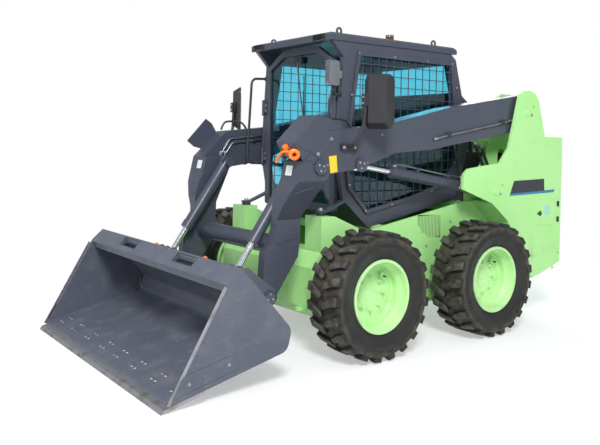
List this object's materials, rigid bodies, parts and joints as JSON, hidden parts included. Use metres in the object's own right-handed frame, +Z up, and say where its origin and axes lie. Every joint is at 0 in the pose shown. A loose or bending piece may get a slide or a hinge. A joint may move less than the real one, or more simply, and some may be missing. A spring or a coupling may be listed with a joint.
{
  "type": "skid steer loader",
  "caption": "Compact wheeled loader with a screened cab between two lift arms, cylinders that raise and tilt a wide bucket, and lugged tyres.",
  "frame": {"origin": "on the ground at the middle of the overall length and width", "axes": "+X forward to the bucket, +Y to the machine's left, +Z up"},
  "size_m": [3.525, 1.81, 2.0379],
  "materials": {
    "tyre_rubber": "dusty, matt",
    "rim_paint": "satin paint",
    "body_green": "semi-gloss paint",
    "dark_paint": "satin paint",
    "bucket_grey": "satin paint",
    "cast_grey": "rough",
    "radiator_black": "matt black",
    "tinted_glass": "tinted, clear",
    "black_plastic": "fine grain",
    "seat_cover": "woven",
    "black_steel": "satin paint",
    "lamp_plastic": "clear gloss",
    "chrome_rod": "polished",
    "bare_steel": "plain",
    "worn_steel": "worn"
  },
  "bodies": {
    "root": {"chassis_tub": "body_green", "axle_housings": "cast_grey", "left_tower": "body_green", "right_tower": "body_green", "engine_block": "cast_grey", "radiator": "radiator_black", "cab_sides": "dark_paint", "cab_roof": "dark_paint", "cab_rear_wall": "dark_paint", "cab_floor": "dark_paint", "cab_glass": "tinted_glass", "side_screens": "dark_paint", "seat_base": "black_plastic", "seat_cushion": "seat_cover", "seat_back": "seat_cover", "control_consoles": "black_plastic", "grab_handles": "black_steel", "lamps": "lamp_plastic", "cab_mounts": "dark_paint", "cab_struts": "black_steel"},
    "front_left_wheel": {"front_left_tyre": "tyre_rubber", "front_left_rim": "rim_paint"},
    "front_right_wheel": {"front_right_tyre": "tyre_rubber", "front_right_rim": "rim_paint"},
    "rear_left_wheel": {"rear_left_tyre": "tyre_rubber", "rear_left_rim": "rim_paint"},
    "rear_right_wheel": {"rear_right_tyre": "tyre_rubber", "rear_right_rim": "rim_paint"},
    "boom": {"left_arm": "dark_paint", "right_arm": "dark_paint", "cross_tube": "dark_paint", "knee_hood": "dark_paint", "mirrors": "black_plastic", "steel_lines": "bare_steel"},
    "lift_barrels": {"lift_barrels": "dark_paint"},
    "lift_rods": {"lift_rods": "chrome_rod"},
    "tilt_barrels": {"tilt_barrels": "dark_paint"},
    "tilt_rods": {"tilt_rods": "chrome_rod"},
    "bucket": {"coupler": "bucket_grey", "bucket": "bucket_grey", "cutting_edge": "worn_steel"},
    "front_door": {"door_frame": "dark_paint", "door_glass": "tinted_glass"},
    "rear_door": {"rear_door": "body_green"},
    "hood": {"engine_hood": "body_green"}
  },
  "joints": [
    {"name": "front_left_wheel_spin", "type": "hinge", "parent": "root", "child": "front_left_wheel", "pos_m": [0.3045, 0.758, 0.386], "axis": [0, 1, 0], "continuous": true},
    {"name": "front_right_wheel_spin", "type": "hinge", "parent": "root", "child": "front_right_wheel", "pos_m": [0.3045, -0.758, 0.386], "axis": [0, 1, 0], "continuous": true},
    {"name": "rear_left_wheel_spin", "type": "hinge", "parent": "root", "child": "rear_left_wheel", "pos_m": [-0.7425, 0.758, 0.386], "axis": [0, 1, 0], "continuous": true},
    {"name": "rear_right_wheel_spin", "type": "hinge", "parent": "root", "child": "rear_right_wheel", "pos_m": [-0.7425, -0.758, 0.386], "axis": [0, 1, 0], "continuous": true},
    {"name": "boom_lift", "type": "hinge", "parent": "root", "child": "boom", "pos_m": [-1.3155, 0, 1.531], "axis": [0, -1, 0], "range_deg": [0, 60]},
    {"name": "lift_barrel_swing", "type": "hinge", "parent": "root", "child": "lift_barrels", "pos_m": [-0.9695, 0, 0.958], "axis": [0, -1, 0], "range_deg": [0, 57.5]},
    {"name": "lift_rod_slide", "type": "slide", "parent": "lift_barrels", "child": "lift_rods", "axis": [0.9878, 0, 0.1559], "range_m": [0, 0.67]},
    {"name": "bucket_tilt", "type": "hinge", "parent": "boom", "child": "bucket", "pos_m": [0.8875, 0, 0.386], "axis": [0, -1, 0], "range_deg": [-95, 30]},
    {"name": "tilt_barrel_swing", "type": "hinge", "parent": "boom", "child": "tilt_barrels", "pos_m": [0.6125, 0, 1.143], "axis": [0, -1, 0], "range_deg": [-6, 2]},
    {"name": "tilt_rod_slide", "type": "slide", "parent": "tilt_barrels", "child": "tilt_rods", "axis": [0.5693, 0, -0.8221], "range_m": [-0.085, 0.27]},
    {"name": "front_door_hinge", "type": "hinge", "parent": "root", "child": "front_door", "pos_m": [0.3075, -0.396, 1.36], "axis": [0, 0, -1], "range_deg": [0, 80]},
    {"name": "rear_door_hinge", "type": "hinge", "parent": "root", "child": "rear_door", "pos_m": [-1.7525, -0.469, 0.885], "axis": [0, 0, 1], "range_deg": [0, 100]},
    {"name": "engine_hood_hinge", "type": "hinge", "parent": "root", "child": "hood", "pos_m": [-1.0085, 0, 1.334], "axis": [0, 1, 0], "range_deg": [0, 60]}
  ],
  "couplings": [
    {"joint": "lift_barrel_swing", "follows": "boom_lift", "ratio": 0.955},
    {"joint": "lift_rod_slide", "follows": "boom_lift", "m_per_rad": 0.635},
    {"joint": "tilt_barrel_swing", "follows": "bucket_tilt", "ratio": 0.06},
    {"joint": "tilt_rod_slide", "follows": "bucket_tilt", "m_per_rad": -0.16}
  ]
}
